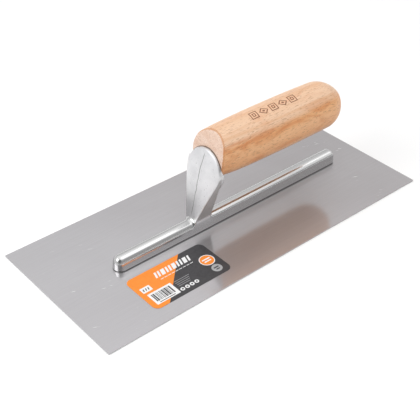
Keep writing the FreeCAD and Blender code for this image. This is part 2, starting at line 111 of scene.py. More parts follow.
# handle
ROD_LEVEL = 57.2
HANDLE_BLANK = -14.0
HANDLE_DOME = 92.0
DOME_LENGTH = 19.0
FRONT_HALF_WIDTH = 15.4
FRONT_HALF_HEIGHT = 15.4
FRONT_LEVEL = 58.2
BELLY_HALF_WIDTH = 18.85
HALF_HEIGHT = 17.3
REAR_HALF_WIDTH = 17.5
REAR_LEVEL = 56.4
WIDTH_RUN = 22.0
HEIGHT_RUN = 10.0
BEND_LEVEL = 52.0
BEND_RADIUS = 38.0
FRONT_EDGE_ROUND = 1.0
HOLE_EDGE_ROUND = 0.4
# how far back the front face and its edge may reach, how squarely they face the toe (-1 is fully),
# and how far in from the handle's skin the edge goes
FACE_REACH, FACE_FACING = 5.0, -0.55
EDGE_REACH, EDGE_FACING, EDGE_DEPTH = 8.0, -0.25, 0.6
# a crease along each side, where a wider top meets a higher flank; it fades over this run
CREASE_FADE = (42.0, 86.0)
CREASE_ROUND = 0.3
TOP_EXTRA_WIDTH = 0.75
FLANK_EXTRA_HEIGHT = 3.6
# exponents of the oval sections, and how much the top's and the flank's gain where the crease is gone
OVAL_POWER = 2.2
TOP_POWER, TOP_POWER_GAIN = 2.0, 0.2
FLANK_POWER, FLANK_POWER_GAIN = 1.8, 0.4
SOCKET_RADIUS = 5.05
SOCKET_FLOOR = -1.9
BORE_RADIUS = 3.25
POCKET_RADIUS = 7.0
POCKET_FLOOR = 98.0

# burnt figures on the handle: where the row starts, then the sizes of each figure
ORNAMENT_X = 23.6
ORNAMENT_TURN = math.radians(110.0)
ORNAMENT_COUNT = 5
ORNAMENT_PITCH = 9.0
ORNAMENT_WIDTH = 8.2
ORNAMENT_HEIGHT = 7.2
ORNAMENT_LEAN = 1.6
ORNAMENT_INSET = 1.9
ORNAMENT_STROKE = 0.72
ORNAMENT_PROUD = 0.02
ORNAMENT_SUNK = -0.12

# how fine the nets over the casting and the handle are, and the boxes that they fill
CELL = 0.5
MOUNTING_BOX = ((BAR_NOSE - 7.1, -20.2, -0.4), (BAR_HEEL + 1.6, 20.2, 65.6))
HANDLE_BOX = ((HEAD_REAR - 1.6, -20.2, 38.0), (HANDLE_DOME + DOME_LENGTH + 1.6, 20.2, 76.0))


# ---------------------------------------------------------------- shaping

def rounded_union(a, b, radius):
    """Two solids as one, with a fillet of that radius in the corner between them."""
    corner = np.hypot(np.maximum(radius - a, 0), np.maximum(radius - b, 0))
    return np.maximum(radius, np.minimum(a, b)) - corner


def rounded_overlap(a, b, radius):
    """What two solids share, with its edge rounded to that radius."""
    corner = np.hypot(np.maximum(radius + a, 0), np.maximum(radius + b, 0))
    return np.minimum(-radius, np.maximum(a, b)) + corner


def melted_union(a, b, reach):
    """Two solids as one, run together over a short reach as in a casting."""
    near = np.maximum(reach - np.abs(a - b), 0) / reach
    return np.minimum(a, b) - near**2 * reach / 4


def smooth_step(x, start, end):
    """0 before start, 1 after end and an even curve between them."""
    t = np.clip((x - start) / (end - start), 0, 1)
    return t * t * (3 - 2 * t)


def oval_size(y, z, half_y, half_z, power):
    """The size of the oval through a point, where 1 is the oval of those half sizes."""
    return ((np.abs(y) / half_y) ** power + (np.abs(z) / half_z) ** power) ** (1 / power)


def net_over(distance, low, high, cell):
    """Quads over the surface where a signed distance is zero, as (points, quads)."""
    counts = [int(math.ceil((b - a) / cell)) + 1 for a, b in zip(low, high)]
    axes = [a + cell * np.arange(n) for a, n in zip(low, counts)]
    field = distance(*np.meshgrid(*axes, indexing="ij"))
    all_quads, all_points = [], []
    for axis in range(3):
        lower, upper = [slice(None)] * 3, [slice(None)] * 3
        lower[axis], upper[axis] = slice(0, -1), slice(1, None)
        first, second = field[tuple(lower)], field[tuple(upper)]
        places = np.argwhere((first < 0) != (second < 0))
        first, second = first[tuple(places.T)], second[tuple(places.T)]
        points = places.astype(float)
        points[:, axis] += first / (first - second)
        across, over = (axis + 1) % 3, (axis + 2) % 3
        ring = []
        for step_across, step_over in ((0, 0), (-1, 0), (-1, -1), (0, -1)):
            cells = places.copy()
            cells[:, across] += step_across
            cells[:, over] += step_over
            ring.append(np.ravel_multi_index(cells.T, [n - 1 for n in counts]))
        quads = np.stack(ring, axis=1)
        outwards = (first < 0)[:, None]
        all_quads.append(np.where(outwards, quads, quads[:, ::-1]))
        all_points.append(points)
    quads, points = np.concatenate(all_quads), np.concatenate(all_points)
    corner = np.unique(quads, return_inverse=True)[1].reshape(quads.shape)
    shares = np.bincount(corner.ravel())
    middle = [np.bincount(corner.ravel(), weights=np.repeat(points[:, k], 4)) / shares for k in range(3)]
    return np.array(low) + cell * np.stack(middle, axis=1), corner


def slope_at(distance, points, step=0.02):
    """The gradient of a distance at each point."""
    parts = []
    for axis in range(3):
        shift = np.zeros(3)
        shift[axis] = step
        parts.append((distance(*(points + shift).T) - distance(*(points - shift).T)) / (2 * step))
    return np.stack(parts, axis=1)


def draw_onto(distance, points, most, passes=4, least_slope=0.3):
    """Moves points onto the surface along its slope, each pass by no more than a given length."""
    for _ in range(passes):
        slope = slope_at(distance, points)
        value = distance(*points.T)
        move = slope * (value / np.maximum((slope**2).sum(axis=1), least_slope))[:, None]
        length = np.linalg.norm(move, axis=1, keepdims=True)
        points = points - move * np.minimum(1, most / np.maximum(length, 1e-9))
    return points


def make_piece(name, points, faces, finishes, numbers=None, sharp=40):
    """A smooth shaded mesh piece in metres that rides on the trowel."""
    mesh = bpy.data.meshes.new(name)
    mesh.from_pydata((np.asarray(points) * MM).tolist(), [], [list(face) for face in faces])
    for finish in finishes:
        mesh.materials.append(finish)
    if numbers is not None:
        mesh.polygons.foreach_set("material_index", np.asarray(numbers, dtype=np.int32))
    mesh.polygons.foreach_set("use_smooth", np.ones(len(mesh.polygons), dtype=bool))
    mesh.set_sharp_from_angle(angle=math.radians(sharp))
    mesh.update()
    piece = bpy.data.objects.new(name, mesh)
    bpy.context.scene.collection.objects.link(piece)
    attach(piece, ROOT)
    return piece


# ---------------------------------------------------------------- outlines

def rounded_box(x, y, length, width, radius, steps=6):
    """A rectangle with rounded corners, as an outline; x and y are its middle."""
    outline = []
    for quarter, (side_x, side_y) in enumerate(((1, 1), (-1, 1), (-1, -1), (1, -1))):
        for k in range(steps + 1):
            turn = math.radians(90) * (quarter + k / steps)
            outline.append((x + side_x * (length / 2 - radius) + radius * math.cos(turn),
                            y + side_y * (width / 2 - radius) + radius * math.sin(turn)))
    return outline


def disc(x, y, radius, steps=40):
    """A round outline."""
    return [(x + radius * math.cos(math.tau * k / steps), y + radius * math.sin(math.tau * k / steps))
            for k in range(steps)]


def slanted(x, y, length, height, slant):
    """A leaning four-sided outline from its lower left corner."""
    return [(x, y), (x + length, y), (x + length + slant, y + height), (x + slant, y + height)]


def inset(corners, width):
    """A convex outline moved inwards by a width."""
    count = len(corners)
    area = sum(corners[i][0] * corners[(i + 1) % count][1] - corners[(i + 1) % count][0] * corners[i][1]
               for i in range(count))
    side = 1 if area > 0 else -1
    moved = []
    for i in range(count):
        before, here, after = (np.array(corners[(i + k) % count]) for k in (-1, 0, 1))
        first, second = here - before, after - here
        first, second = first / np.linalg.norm(first), second / np.linalg.norm(second)
        normal_1, normal_2 = np.array([-first[1], first[0]]) * side, np.array([-second[1], second[0]]) * side
        bisector = normal_1 + normal_2
        moved.append(here + bisector * width / (bisector @ normal_1))
    return moved


def spread_along(corners, count):
    """A closed outline as that many points on each of its sides, corners among them."""
    points = []
    for i, corner in enumerate(corners):
        start, end = np.array(corner), np.array(corners[(i + 1) % len(corners)])
        points += [start + (end - start) * k / count for k in range(count)]
    return points


def kept_left_of(outline, start, end):
    """The part of an outline on the left of a line from start to end."""
    def side(point):
        return (end[0] - start[0]) * (point[1] - start[1]) - (end[1] - start[1]) * (point[0] - start[0])

    kept = []
    for i, point in enumerate(outline):
        other = outline[(i + 1) % len(outline)]
        if side(point) >= 0:
            kept.append(point)
        if (side(point) >= 0) != (side(other) >= 0):
            share = side(point) / (side(point) - side(other))
            kept.append((point[0] + (other[0] - point[0]) * share, point[1] + (other[1] - point[1]) * share))
    return kept


# ---------------------------------------------------------------- mounting

def bar_distance(x, y, z):
    """Signed distance of the bar: leaning sides and bevelled shoulders, crisper behind the neck."""
    reach = np.hypot(np.minimum(x - BAR_NOSE, 0), y) - BAR_EDGE_HALF
    rise = z - BAR_EDGE_LEVEL
    crisp = smooth_step(x, *ROUND_LOSS_RUN)
    side = reach * math.cos(BAR_DRAFT) + rise * math.sin(BAR_DRAFT)
    bevel = reach * math.sin(BAR_BEVEL) + rise * math.cos(BAR_BEVEL)
    bar = rounded_overlap(bevel, z - BAR_TOP, BAR_TOP_ROUND - TOP_ROUND_LOSS * crisp)
    bar = rounded_overlap(bar, side, BAR_SHOULDER_ROUND - SHOULDER_ROUND_LOSS * crisp)
    return rounded_overlap(bar, x - BAR_HEEL, BAR_HEEL_ROUND)


def neck_half_width(z):
    """Half the neck's width, in line with the bar's side at its foot and flaring evenly above it."""
    over = z - FLARE_LEVEL
    softened = np.hypot(over, FLARE_SOFTNESS)
    above, below = (over + softened) / 2, (softened - over) / 2
    return BAR_EDGE_HALF + math.tan(NECK_SPREAD) * above + math.tan(BAR_DRAFT) * below


def face_distance(x, y, z):
    """How far a point is in front of the neck's bowed face, which leans back and curls over at the head."""
    axis_x = FACE_FOOT_X + FACE_BOW * math.cos(FACE_LEAN)
    axis_z = FACE_FOOT_Z - FACE_BOW * math.sin(FACE_LEAN)
    along = (x - axis_x) * math.sin(FACE_LEAN) + (z - axis_z) * math.cos(FACE_LEAN)
    out = (x - axis_x) * math.cos(FACE_LEAN) - (z - axis_z) * math.sin(FACE_LEAN)
    reach = np.hypot(out, y)
    curled = np.hypot(reach + FACE_CURL - FACE_BOW, along - FACE_RUN) - FACE_CURL
    return np.where(along < FACE_RUN, reach - FACE_BOW, curled)


def seat_distance(x, z):
    """How far a point is behind the seat of the handle: upright below, bent back above the bend level."""
    bend_x = HEAD_REAR + BEND_RADIUS
    bent = BEND_RADIUS - np.hypot(x - bend_x, z - BEND_LEVEL)
    upright = x - HEAD_REAR
    return np.where(x > bend_x, BEND_RADIUS, np.where(z > BEND_LEVEL, bent, upright))


def mounting_distance(x, y, z):
    """Signed distance of the casting."""
    flank = (np.abs(y) - neck_half_width(z)) * math.cos(NECK_SPREAD)
    crown = np.hypot(y, z - CROWN_LEVEL) - CROWN_RADIUS
    at_crown = np.abs(y) * math.sin(NECK_SPREAD) + (z - CROWN_LEVEL) * math.cos(NECK_SPREAD) > 0
    stem = rounded_overlap(np.where(at_crown, crown, flank), x - NECK_REAR, NECK_EDGE_ROUND)

    behind_seat = seat_distance(x, z) + SEAT_GAP
    shrink = np.clip(HEAD_REAR - COLLAR_RIM - x, 0, COLLAR_SLANT_RUN) * COLLAR_SLANT
    rise = z - COLLAR_LEVEL
    below = oval_size(y, rise, COLLAR_HALF_WIDTH - shrink, COLLAR_BELOW - shrink, COLLAR_POWER_BELOW)
    above = oval_size(y, rise, COLLAR_HALF_WIDTH - shrink, COLLAR_ABOVE - shrink, COLLAR_POWER_ABOVE)
    oval = np.where(rise < 0, (below - 1) * COLLAR_BELOW, (above - 1) * COLLAR_ABOVE)
    collar = np.maximum(rounded_overlap(oval, behind_seat, HEAD_RIM_ROUND), COLLAR_FRONT - x)
    pad = np.maximum(rounded_overlap(crown, behind_seat, HEAD_RIM_ROUND), COLLAR_FRONT - x)
    neck = melted_union(np.minimum(stem, pad), collar, COLLAR_MELT)
    neck = rounded_overlap(neck, face_distance(x, y, z), NECK_EDGE_ROUND)

    solid = rounded_union(neck, bar_distance(x, y, z), NECK_BASE_ROUND)
    solid = np.maximum(solid, np.where(z < FOOT_TOP, flank, -1.0))
    around_rod = np.hypot(y, z - ROD_LEVEL)
    spigot = rounded_overlap(around_rod - SPIGOT_RADIUS, x - SPIGOT_END, SPIGOT_ROUND)
    solid = np.minimum(solid, np.maximum(spigot, HEAD_REAR - SPIGOT_ROOT - x))
    solid = np.maximum(solid, -np.maximum(around_rod - THREAD_RADIUS, THREAD_FLOOR - x))
    nearest = np.clip(np.round((x - RIVET_FIRST) / RIVET_PITCH), 0, RIVET_COUNT - 1)
    around_rivet = np.hypot(x - RIVET_FIRST - RIVET_PITCH * nearest, y)
    solid = np.maximum(solid, -np.maximum(around_rivet - RIVET_RADIUS, z - RIVET_TOP))
    return rounded_overlap(solid, BLADE_TOP - z, BAR_BASE_ROUND)


def make_mounting(finish):
    """The casting, from its bar on the blade to the spigot inside the handle."""
    points, quads = net_over(mounting_distance, *MOUNTING_BOX, CELL)
    points = draw_onto(mounting_distance, points, CELL / 2)
    piece = make_piece("mounting_casting", points, quads, [finish])
    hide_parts("mounting")


# ---------------------------------------------------------------- handle

def handle_section(x):
    """Half width, half height and level of the handle's section at a place along it."""
    run = np.clip(x, HANDLE_BLANK, HANDLE_DOME) - HANDLE_BLANK
    widened, raised = 1 - np.exp(-run / WIDTH_RUN), 1 - np.exp(-run / HEIGHT_RUN)
    lowered = np.maximum(0, 2 * run / (HANDLE_DOME - HANDLE_BLANK) - 1)
    half_width = FRONT_HALF_WIDTH + (BELLY_HALF_WIDTH - FRONT_HALF_WIDTH) * widened
    half_width = half_width - (BELLY_HALF_WIDTH - REAR_HALF_WIDTH) * lowered**2
    half_height = FRONT_HALF_HEIGHT + (HALF_HEIGHT - FRONT_HALF_HEIGHT) * raised
    level = FRONT_LEVEL + (ROD_LEVEL - FRONT_LEVEL) * raised + (REAR_LEVEL - ROD_LEVEL) * lowered
    return half_width, half_height, level


def handle_skin(x, y, z):
    """Signed distance of the handle's outside, with a crease along each side that fades to the rear."""
    half_width, half_height, level = handle_section(x)
    rise = z - level
    fade = smooth_step(x, *CREASE_FADE)
    beyond = np.maximum(x - HANDLE_DOME, 0) / DOME_LENGTH
    top_width = half_width + TOP_EXTRA_WIDTH * (1 - fade)
    flank_height = half_height + FLANK_EXTRA_HEIGHT * (1 - fade)
    top = oval_size(y, rise, top_width, half_height, TOP_POWER + TOP_POWER_GAIN * fade)
    flank = oval_size(y, rise, half_width, flank_height, FLANK_POWER + FLANK_POWER_GAIN * fade)
    lower = oval_size(y, rise, half_width, half_height, OVAL_POWER)
    scale = (half_width + half_height) / 2
    top, flank, lower = [(np.hypot(size, beyond) - 1) * scale for size in (top, flank, lower)]
    return np.where(rise > 0, rounded_overlap(top, flank, CREASE_ROUND), lower)


def handle_distance(x, y, z):
    """Signed distance of the handle with its front face, socket, bore and nut pocket."""
    solid = rounded_overlap(handle_skin(x, y, z), -seat_distance(x, z), FRONT_EDGE_ROUND)
    around_rod = np.hypot(y, z - ROD_LEVEL)
    socket = np.maximum(around_rod - SOCKET_RADIUS, x - SOCKET_FLOOR)
    pocket = np.maximum(around_rod - POCKET_RADIUS, POCKET_FLOOR - x)
    hollow = np.minimum(np.minimum(socket, pocket), around_rod - BORE_RADIUS)
    return rounded_overlap(solid, -hollow, HOLE_EDGE_ROUND)


def make_handle(side_finish, end_finish, edge_finish):
    """The beech handle, with finishes for its sides, its front face across the grain and that face's edge."""
    points, quads = net_over(handle_distance, *HANDLE_BOX, CELL)
    points = draw_onto(handle_distance, points, CELL / 2)
    middles = points[quads].mean(axis=1)
    facing = slope_at(handle_distance, middles)[:, 0]
    skin_depth = handle_skin(*middles.T)
    at_front = (middles[:, 0] < FACE_REACH) & (facing < FACE_FACING)
    at_edge = (middles[:, 0] < EDGE_REACH) & (facing < EDGE_FACING) & (skin_depth > -EDGE_DEPTH)
    finishes = [side_finish, end_finish, edge_finish]
    numbers = np.where(at_edge, 2, np.where(at_front, 1, 0))
    piece = make_piece("handle_beech", points, quads, finishes, numbers)
    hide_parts("handle")


def on_handle(x, turn):
    """The point of the handle's skin at a place along it and an angle round it, and the way out there."""
    level = handle_section(np.array([x]))[2][0]
    near, far = 5.0, 30.0  # the skin lies between these distances from the handle's middle line
    for _ in range(40):
        middle = (near + far) / 2
        y, z = middle * math.cos(turn), level + middle * math.sin(turn)
        inside = handle_skin(np.array([x]), np.array([y]), np.array([z]))[0] < 0
        near, far = (middle, far) if inside else (near, middle)
    point = np.array([[x, near * math.cos(turn), level + near * math.sin(turn)]])
    slope = slope_at(handle_skin, point)[0]
    return point[0], slope / np.linalg.norm(slope)


# ---------------------------------------------------------------- ornament

def ornament_figures():
    """A row of diamonds and leaning squares, one in another, as outlines along and up the handle's side."""
    width, height = ORNAMENT_WIDTH, ORNAMENT_HEIGHT
    diamond = [(0.0, height / 2), (width / 2, 0.0), (width, height / 2), (width / 2, height)]
    square = slanted(0.0, 0.0, width - ORNAMENT_LEAN, height, ORNAMENT_LEAN)
    figures = []
    for k in range(ORNAMENT_COUNT):
        outline = [(k * ORNAMENT_PITCH + along, up) for along, up in (diamond if k % 2 else square)]
        figures += [outline, inset(outline, ORNAMENT_INSET)]
    return figures


def make_ornament(finish):
    """Thin scorched outlines let into the upper side of the handle."""
    points, faces = [], []
    for figure in ornament_figures():
        outer, inner = spread_along(figure, 6), spread_along(inset(figure, ORNAMENT_STROKE), 6)
        start, count = len(points), len(outer)
        proud, sunk = ORNAMENT_PROUD, ORNAMENT_SUNK
        for ring, lift in ((outer, proud), (inner, proud), (inner, sunk), (outer, sunk)):
            for along, up in ring:
                turn = ORNAMENT_TURN - up / HALF_HEIGHT
                point, out = on_handle(ORNAMENT_X + along, turn)
                points.append(point + out * lift)
        for loop in range(4):
            for i in range(count):
                j, other = (i + 1) % count, (loop + 1) % 4
                here, there = start + loop * count, start + other * count
                faces.append([here + i, here + j, there + j, there + i])
    make_piece("handle_ornament", points, faces, [finish])


# ---------------------------------------------------------------- label

LABEL_MIDDLE = (-63.2, -31.6)
LABEL_SIZE = (64.2, 34.6)
LABEL_CORNER = 4.5
LABEL_SPLIT = ((-84.5, -48.9), (-50.2, -14.3))

# heights of the printed layers above the blade, and how thick all but the first of them are
FILM, TINT, PRINT, OVERPRINT = 0.08, 0.10, 0.12, 0.14
LAYER = 0.03

# the label's inks, by their place among its finishes
DARK, ORANGE, WHITE, GREY = range(4)

# the row of broad strokes in place of a title, from its lower left corner, and the dashes below it
TITLE_CORNER = (-76.6, -24.6)
TITLE_STROKES = (1.5, 1.5, 2.9, 1.5, 1.5, 2.9, 1.5, 1.5, 2.9, 1.5)
TITLE_HEIGHT, TITLE_LEAN, TITLE_GAP = 5.4, 1.6, 1.1
DASH_CORNER, DASHES_END = (-75.0, -27.4), -48.0
DASH_LENGTH, DASH_HEIGHT, DASH_LEAN, DASH_PITCH = 2.4, 0.5, 0.1, 3.1

# the round marks at the label's right, each with two bars: their level from its middle, length and height
BADGE_MIDDLE, BADGE_RADIUS, BADGE_RIM = (-39.4, -31.7), 5.5, 0.6
BADGE_BARS = ((1.1, 6.6, 1.1), (-1.1, 5.6, 1.1))
SEAL_MIDDLE, SEAL_RADIUS = (-39.3, -42.0), 3.75
SEAL_BARS = ((0.8, 4.2, 1.2), (-1.2, 3.0, 1.0))
MARK_BAR_ROUND = 0.4

# the bar code with a line of small print below it
CODE_BOX = (-82.0, -39.6, 18.7, 11.8, 0.5)
CODE_START, CODE_END, CODE_FOOT, CODE_HEIGHT = -89.6, -75.4, -42.9, 7.6
CODE_WIDTHS, CODE_GAPS = (0.35, 0.5, 0.8, 1.1), (0.4, 0.6, 0.8)
CODE_LINE = (-82.5, -44.3, 12.5, 0.6, 0.2)

# the white tag with three strokes above the bar code
TAG_BOX = (-88.3, -28.9, 7.5, 5.2, 0.4)
TAG_CORNER, TAG_PITCH = (-91.0, -30.2), 1.9
TAG_STROKE, TAG_HEIGHT, TAG_LEAN = 0.7, 2.4, 0.6

# lines of small print, each shorter than the one above, and the row of dots under them
LINE_START, LINE_LENGTH, LINE_LOSS = (-70.4, -35.0), 12.6, 0.9
LINE_HEIGHT, LINE_PITCH, LINE_ROUND = 0.32, 1.7, 0.12
DOT_START, DOT_PITCH, DOT_RADIUS, DOT_CORE = (-69.9, -43.8), 3.9, 1.6, 0.7


class Print:
    """Thin printed layers of a label, gathered into one mesh."""

    def __init__(self):
        self.points, self.faces, self.inks = [], [], []

    def layer(self, outline, level, ink):
        """A printed shape whose top lies at one of the levels above the blade."""
        low, high = BLADE_TOP + level - LAYER, BLADE_TOP + level
        if level == FILM:
            low = BLADE_TOP
        start, count = len(self.points), len(outline)
        self.points += [(x, y, low) for x, y in outline] + [(x, y, high) for x, y in outline]
        self.faces.append([start + i for i in reversed(range(count))])
        self.faces.append([start + count + i for i in range(count)])
        for i in range(count):
            j = (i + 1) % count
            self.faces.append([start + i, start + j, start + count + j, start + count + i])
        self.inks += [ink] * (count + 2)


def print_title(sheet):
    """Broad leaning strokes with a row of dashes below them, in place of a name."""
    place, foot = TITLE_CORNER
    for length in TITLE_STROKES:
        sheet.layer(slanted(place, foot, length, TITLE_HEIGHT, TITLE_LEAN), PRINT, WHITE)
        place += length + TITLE_GAP
    place, foot = DASH_CORNER
    while place < DASHES_END:
        sheet.layer(slanted(place, foot, DASH_LENGTH, DASH_HEIGHT, DASH_LEAN), PRINT, WHITE)
        place += DASH_PITCH


def print_round_marks(sheet):
    """An orange badge in a white ring and a grey seal, each with two short bars."""
    x, y = BADGE_MIDDLE
    sheet.layer(disc(x, y, BADGE_RADIUS), TINT, WHITE)
    sheet.layer(disc(x, y, BADGE_RADIUS - BADGE_RIM), PRINT, ORANGE)
    for rise, length, height in BADGE_BARS:
        sheet.layer(rounded_box(x, y + rise, length, height, MARK_BAR_ROUND), OVERPRINT, WHITE)
    x, y = SEAL_MIDDLE
    sheet.layer(disc(x, y, SEAL_RADIUS), TINT, GREY)
    for rise, length, height in SEAL_BARS:
        sheet.layer(rounded_box(x, y + rise, length, height, MARK_BAR_ROUND), PRINT, DARK)


def print_bar_code(sheet):
    """Dark bars of seeded random widths on a white box, with a line under them."""
    sheet.layer(rounded_box(*CODE_BOX), PRINT, WHITE)
    chance = random.Random(7)
    place = CODE_START
    while place < CODE_END:
        width = chance.choice(CODE_WIDTHS)
        sheet.layer(slanted(place, CODE_FOOT, width, CODE_HEIGHT, 0.0), OVERPRINT, DARK)
        place += width + chance.choice(CODE_GAPS)
    sheet.layer(rounded_box(*CODE_LINE), OVERPRINT, DARK)


def print_tag(sheet):
    """A small white tag with three leaning strokes."""
    sheet.layer(rounded_box(*TAG_BOX), PRINT, WHITE)
    place, foot = TAG_CORNER
    for k in range(3):
        sheet.layer(slanted(place + TAG_PITCH * k, foot, TAG_STROKE, TAG_HEIGHT, TAG_LEAN), OVERPRINT, DARK)


def print_small_lines(sheet):
    """Fine grey lines in place of small print, and a row of ringed dots."""
    left, level = LINE_START
    for row in range(4):
        length = LINE_LENGTH - LINE_LOSS * row
        line = rounded_box(left + length / 2, level - LINE_PITCH * row, length, LINE_HEIGHT, LINE_ROUND)
        sheet.layer(line, PRINT, GREY)
    left, level = DOT_START
    for k in range(4):
        sheet.layer(disc(left + DOT_PITCH * k, level, DOT_RADIUS), PRINT, WHITE)
        sheet.layer(disc(left + DOT_PITCH * k, level, DOT_CORE), OVERPRINT, DARK)


def make_label(inks):
    """The label: two colours meeting on a slant, with bars, rings and lines in place of any wording."""
    sheet = Print()
    outline = rounded_box(*LABEL_MIDDLE, *LABEL_SIZE, LABEL_CORNER)
    sheet.layer(outline, FILM, DARK)
    sheet.layer(kept_left_of(outline, *LABEL_SPLIT), TINT, ORANGE)
    print_title(sheet)
    print_round_marks(sheet)
    print_bar_code(sheet)
    print_tag(sheet)
    print_small_lines(sheet)
    piece = make_piece("label_print", sheet.points, sheet.faces, inks, sheet.inks, sharp=30)
    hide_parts("label")


# ---------------------------------------------------------------- materials

# colours of the blade, from its toe to its heel, each a little mottled
STEEL_TOE = ((0.548, 0.535, 0.551, 1), (0.574, 0.564, 0.580, 1))
STEEL_HEEL = ((0.505, 0.483, 0.490, 1), (0.535, 0.516, 0.524, 1))

# colours of the casting
CAST_PALE = ((0.66, 0.66, 0.675, 1), (0.76, 0.76, 0.77, 1))

# colours of the beech: its grain, its figure, its flecks and cut ends, the painted shade on its flanks,
# crease, lower side, underside and front edge, and the painted shadow round the head
BEECH_BAND = ((0.860, 0.585, 0.390, 1), (0.790, 0.465, 0.265, 1))
BEECH_SIDE_SHADE = (0.930, 0.430, 0.125, 1)
BEECH_FIGURE = (0.680, 0.225, 0.055, 1)
BEECH_CREASE_SHADE = (0.660, 0.205, 0.050, 1)
BEECH_LOW_SHADE = (0.760, 0.290, 0.080, 1)
BEECH_UNDER_SHADE = (0.340, 0.250, 0.205, 1)
BEECH_FINE = (0.540, 0.230, 0.080, 1)
BEECH_FLECK = (0.360, 0.130, 0.045, 1)
BEECH_EDGE_SHADE = (0.500, 0.190, 0.060, 1)
BEECH_ENDS = ((0.800, 0.610, 0.500, 1), (0.720, 0.500, 0.380, 1))
BEECH_PORE = (0.420, 0.240, 0.150, 1)
BEECH_GAP_SHADOW = (0.075, 0.040, 0.025, 1)
BEECH_BURNT = ((0.180, 0.050, 0.016, 1), (0.300, 0.098, 0.032, 1))

# colours of the label's inks and of the plain metal parts
INK_DARK = (0.058, 0.056, 0.060, 1)
INK_ORANGE = (0.93, 0.275, 0.032, 1)
INK_WHITE = (0.86, 0.86, 0.86, 1)
INK_GREY = (0.42, 0.42, 0.43, 1)
ROD_STEEL = (0.60, 0.60, 0.61, 1)
WASHER_ZINC = (0.72, 0.73, 0.75, 1)
NUT_ZINC = (0.74, 0.74, 0.74, 1)
RIVET_STEEL = (0.58, 0.57, 0.57, 1)

# levels in metres between which a material changes, the first where the change starts
# the first pair bounds a painted contact shadow along the casting's base; the pairs for the foot, sides, low
# side and underside bound painted shade
CONTACT_SHADE_FADE = (0.0015, 0.0011)
CAST_START = (0.0100, 0.0130)
PARTING_START = (0.0130, 0.0170)
FOOT_SHADE = (0.040, 0.020)
SIDE_SHADE = (0.0690, 0.0650)
LOW_SHADE = (0.0610, 0.0520)
UNDER_SHADE = (0.0520, 0.0430)
CREASE_LEVEL = 0.0662


class Nodes:
    """A node tree under construction. Inputs may be plain values or the outputs of other nodes."""

    def __init__(self, owner):
        owner.use_nodes = True
        self.tree = owner.node_tree
        self.tree.nodes.clear()

    def add(self, kind, inputs=None, **settings):
        """A node with its settings and inputs."""
        node = self.tree.nodes.new(kind)
        for key, value in settings.items():
            setattr(node, key, value)
        for key, value in (inputs or {}).items():
            self.feed(node.inputs[key], value)
        return node

    def feed(self, socket, value):
        """A plain value or a link into a socket."""
        if isinstance(value, bpy.types.NodeSocket):
            self.tree.links.new(value, socket)
        else:
            socket.default_value = value

    def between(self, value, low, high, first=0.0, second=1.0):
        """A value taken from one range to another, with a soft start and end."""
        inputs = {"Value": value, "From Min": low, "From Max": high, "To Min": first, "To Max": second}
        return self.add("ShaderNodeMapRange", inputs, interpolation_type="SMOOTHSTEP").outputs[0]

    def calc(self, kind, first, second=0.0):
        """Arithmetic on two values."""
        return self.add("ShaderNodeMath", {0: first, 1: second}, operation=kind).outputs[0]


class Finish(Nodes):
    """A material under construction."""

    def __init__(self, name):
        self.material = bpy.data.materials.new(name)
        super().__init__(self.material)
        self.coordinates = self.add("ShaderNodeTexCoord").outputs["Object"]

    def stretched(self, scale, turn=0.0, shift=(0, 0, 0)):
        """The piece's own coordinates, turned about Z and scaled along each axis."""
        turned = self.add("ShaderNodeMapping", {"Vector": self.coordinates, "Rotation": (0, 0, turn)})
        return self.add(
            "ShaderNodeMapping", {"Vector": turned.outputs[0], "Location": shift, "Scale": scale}
        ).outputs[0]

    def noise(self, scale, detail=3.0, roughness=0.5, distortion=0.0, turn=0.0, shift=(0, 0, 0)):
        """Noise with its own number of cells per metre along each axis."""
        inputs = {"Vector": self.stretched(scale, turn, shift), "Scale": 1.0, "Detail": detail}
        inputs.update({"Roughness": roughness, "Distortion": distortion})
        return self.add("ShaderNodeTexNoise", inputs).outputs[0]

    def axis(self, name):
        """One of the piece's own coordinates, in metres."""
        return self.add("ShaderNodeSeparateXYZ", {0: self.coordinates}).outputs[name]

    def mix(self, share, first, second):
        """Two colours mixed by a share."""
        inputs = {0: share, 6: first, 7: second}
        return self.add("ShaderNodeMix", inputs, data_type="RGBA").outputs[2]

    def blend(self, share, first, second):
        """Two values mixed by a share."""
        return self.add("ShaderNodeMix", {0: share, 2: first, 3: second}).outputs[0]

    def bump(self, height, depth, strength=1.0):
        """A normal raised by a height of 0 to 1 over a depth in metres."""
        inputs = {"Height": height, "Distance": depth, "Strength": strength}
        return self.add("ShaderNodeBump", inputs).outputs[0]

    def surface(self, **inputs):
        """A surface shader from its inputs."""
        inputs = {key.replace("_", " "): value for key, value in inputs.items()}
        return self.add("ShaderNodeBsdfPrincipled", inputs).outputs[0]

    def done(self, shader=None, **inputs):
        """The finished material, from a shader or from the inputs of one."""
        self.add("ShaderNodeOutputMaterial", {"Surface": shader or self.surface(**inputs)})
        return self.material


def grey(value, warm=1.0):
    """An opaque grey, a little warm or cold."""
    return (value * warm, value, value / warm, 1.0)


def dimmed(colour, share):
    """A colour with a share of its brightness."""
    return tuple(part * share for part in colour[:3]) + (1.0,)


